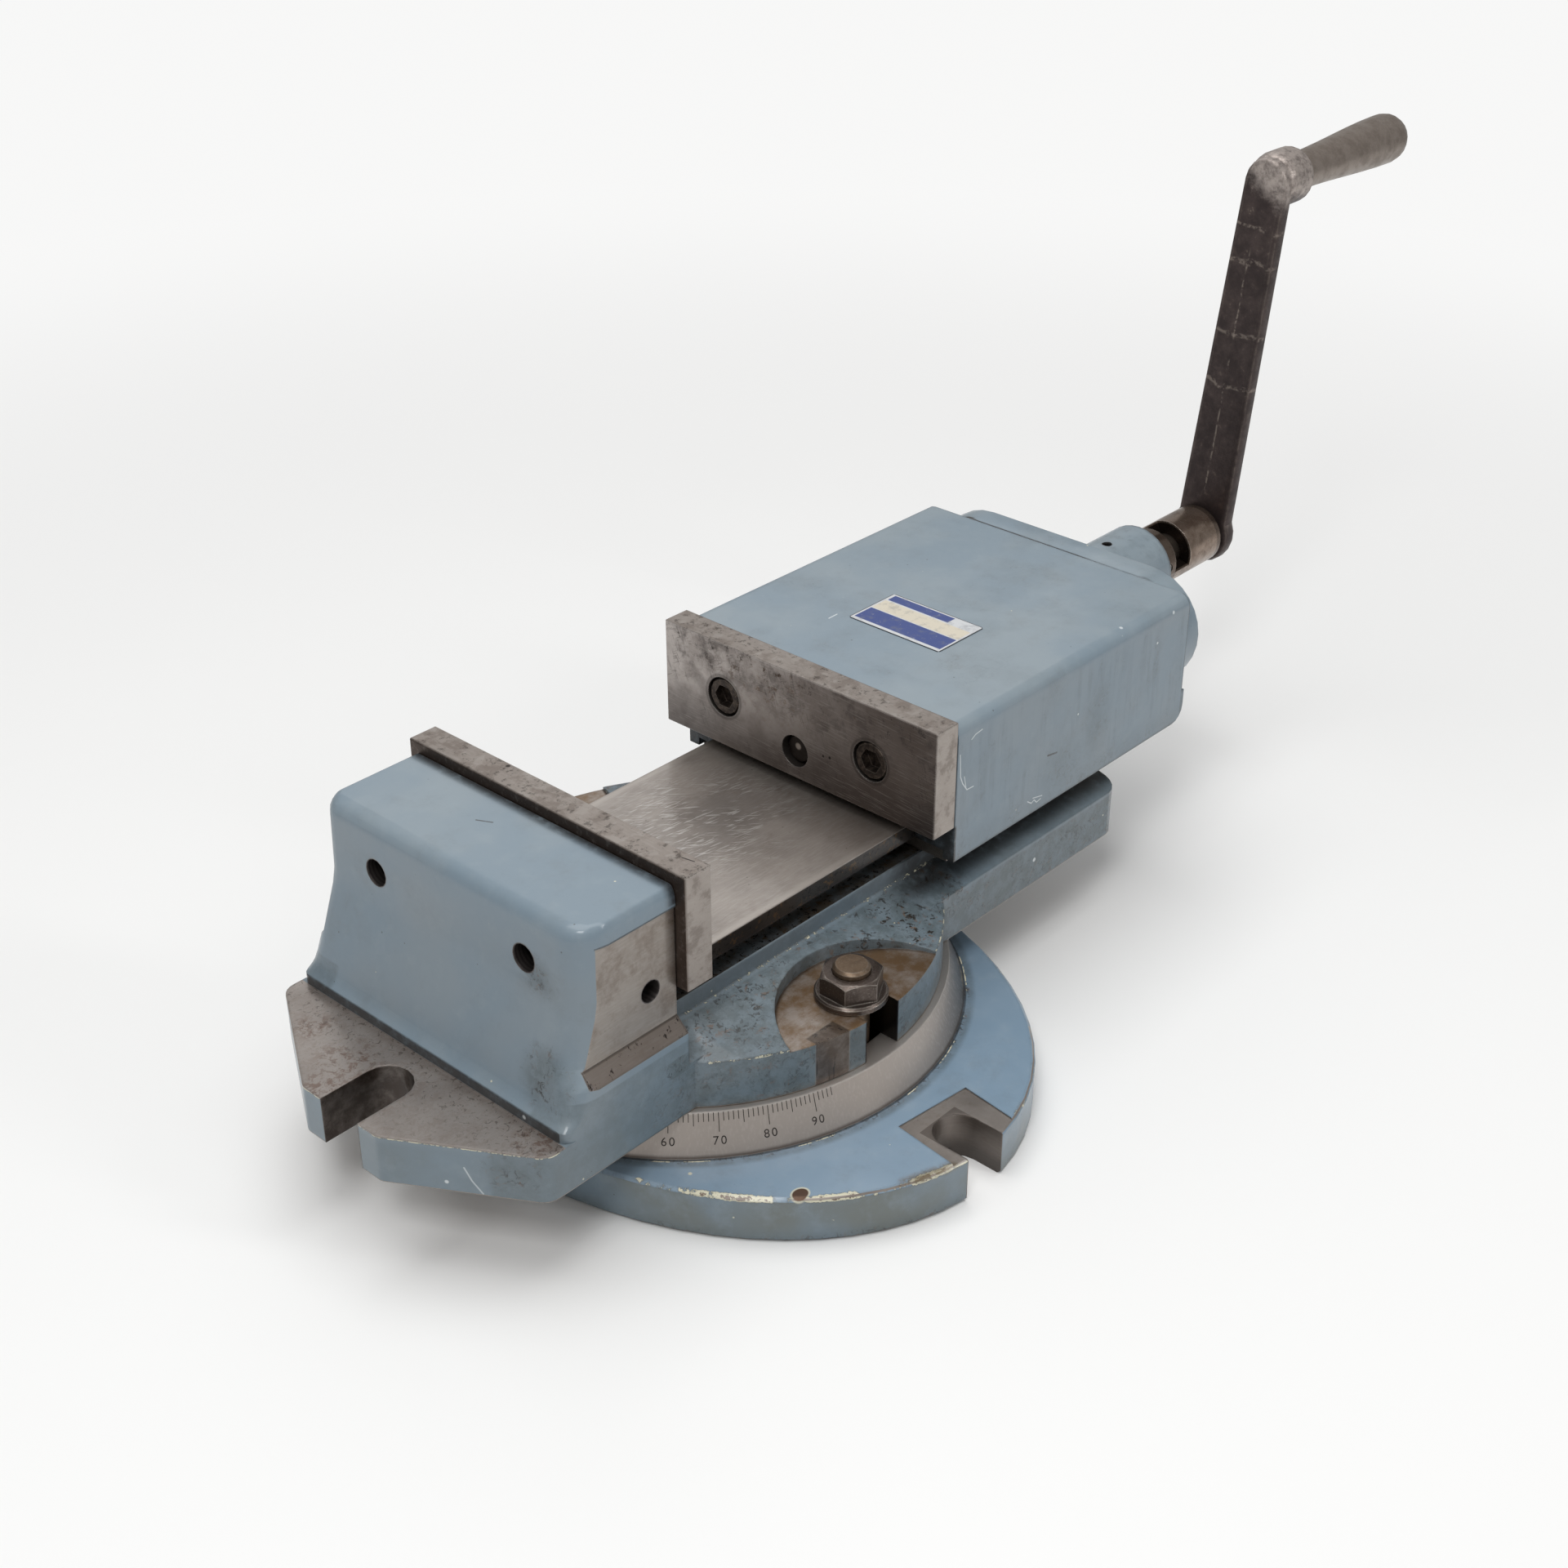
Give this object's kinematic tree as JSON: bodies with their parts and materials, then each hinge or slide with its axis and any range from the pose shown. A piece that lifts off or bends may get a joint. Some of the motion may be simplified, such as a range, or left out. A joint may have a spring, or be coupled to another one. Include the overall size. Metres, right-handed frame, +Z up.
{
  "type": "swivel machine vise",
  "caption": "Cast machine vise on a graduated swivel base, with a slotted lug, ground jaw plates, a long sliding jaw and a lead screw turned by a crank with a revolving grip.",
  "frame": {"origin": "swivel centre on the underside of the base plate", "axes": "+X along the lead screw towards the crank, +Y across the jaws to the far side, +Z up"},
  "size_m": [0.7085, 0.3326, 0.3145],
  "materials": {
    "base_paint": "grey-blue enamel, worn",
    "body_paint": "grey-blue enamel, worn and oily",
    "moving_jaw_paint": "grey-blue enamel, worn",
    "housing_paint": "grey-blue enamel, worn",
    "plate_steel": "ground hardened steel, pitted",
    "pin_steel": "turned steel",
    "screw_steel": "blackened steel",
    "bolt_steel": "turned steel, brown with age",
    "nut_steel": "blackened steel, worn",
    "keeper_steel": "machined steel",
    "bronze": "cast bronze",
    "spindle_steel": "turned steel, oiled",
    "sleeve_steel": "turned steel, brown with age",
    "arm_steel": "blackened steel, worn",
    "grip_steel": "turned steel, dull"
  },
  "bodies": {
    "base": {"swivel_base": "base_paint", "centre_pivot": "pin_steel"},
    "vise_body": {"vise_body": "body_paint", "fixed_jaw_plate": "plate_steel", "fixed_plate_screw_1": "screw_steel", "fixed_plate_screw_2": "screw_steel", "clamp_bolt_1": "bolt_steel", "clamp_bolt_2": "bolt_steel", "clamp_nut_1": "nut_steel", "clamp_nut_2": "nut_steel", "screw_nut": "bronze", "screw_nut_bolt_1": "screw_steel", "screw_nut_bolt_2": "screw_steel"},
    "moving_jaw": {"moving_jaw": "moving_jaw_paint", "moving_jaw_plate": "plate_steel", "moving_plate_screw_1": "screw_steel", "moving_plate_screw_2": "screw_steel", "keeper_near": "keeper_steel", "keeper_far": "keeper_steel", "keeper_screw_near_1": "screw_steel", "keeper_screw_near_2": "screw_steel", "keeper_screw_near_3": "screw_steel", "keeper_screw_far_1": "screw_steel", "keeper_screw_far_2": "screw_steel", "keeper_screw_far_3": "screw_steel", "screw_housing": "housing_paint", "housing_screw_1": "screw_steel", "housing_screw_2": "screw_steel", "housing_screw_3": "screw_steel", "housing_screw_4": "screw_steel", "retaining_ring": "keeper_steel", "thrust_washer_front": "bronze", "thrust_washer_rear": "bronze", "screw_bush": "bronze"},
    "lead_screw": {"lead_screw": "spindle_steel", "claw_coupling": "sleeve_steel", "coupling_pin": "pin_steel", "crank_sleeve": "sleeve_steel", "crank_arm": "arm_steel", "grip_pin": "pin_steel"},
    "grip": {"crank_grip": "grip_steel"}
  },
  "joints": [
    {"name": "swivel", "type": "hinge", "parent": "base", "child": "vise_body", "pos_m": [0, 0, 0.04], "axis": [0, 0, 1], "continuous": true},
    {"name": "jaw_slide", "type": "slide", "parent": "vise_body", "child": "moving_jaw", "axis": [1, 0, 0], "range_m": [-0.1351, 0.0051]},
    {"name": "screw_turn", "type": "hinge", "parent": "moving_jaw", "child": "lead_screw", "pos_m": [0.334, 0, 0.111], "axis": [1, 0, 0], "range_deg": [-9720, 360]},
    {"name": "grip_turn", "type": "hinge", "parent": "lead_screw", "child": "grip", "pos_m": [0.418, -0.01693, 0.30074], "axis": [1, 0, 0], "continuous": true}
  ],
  "couplings": [
    {"joint": "jaw_slide", "follows": "screw_turn", "m_per_rad": 0.00079577}
  ]
}
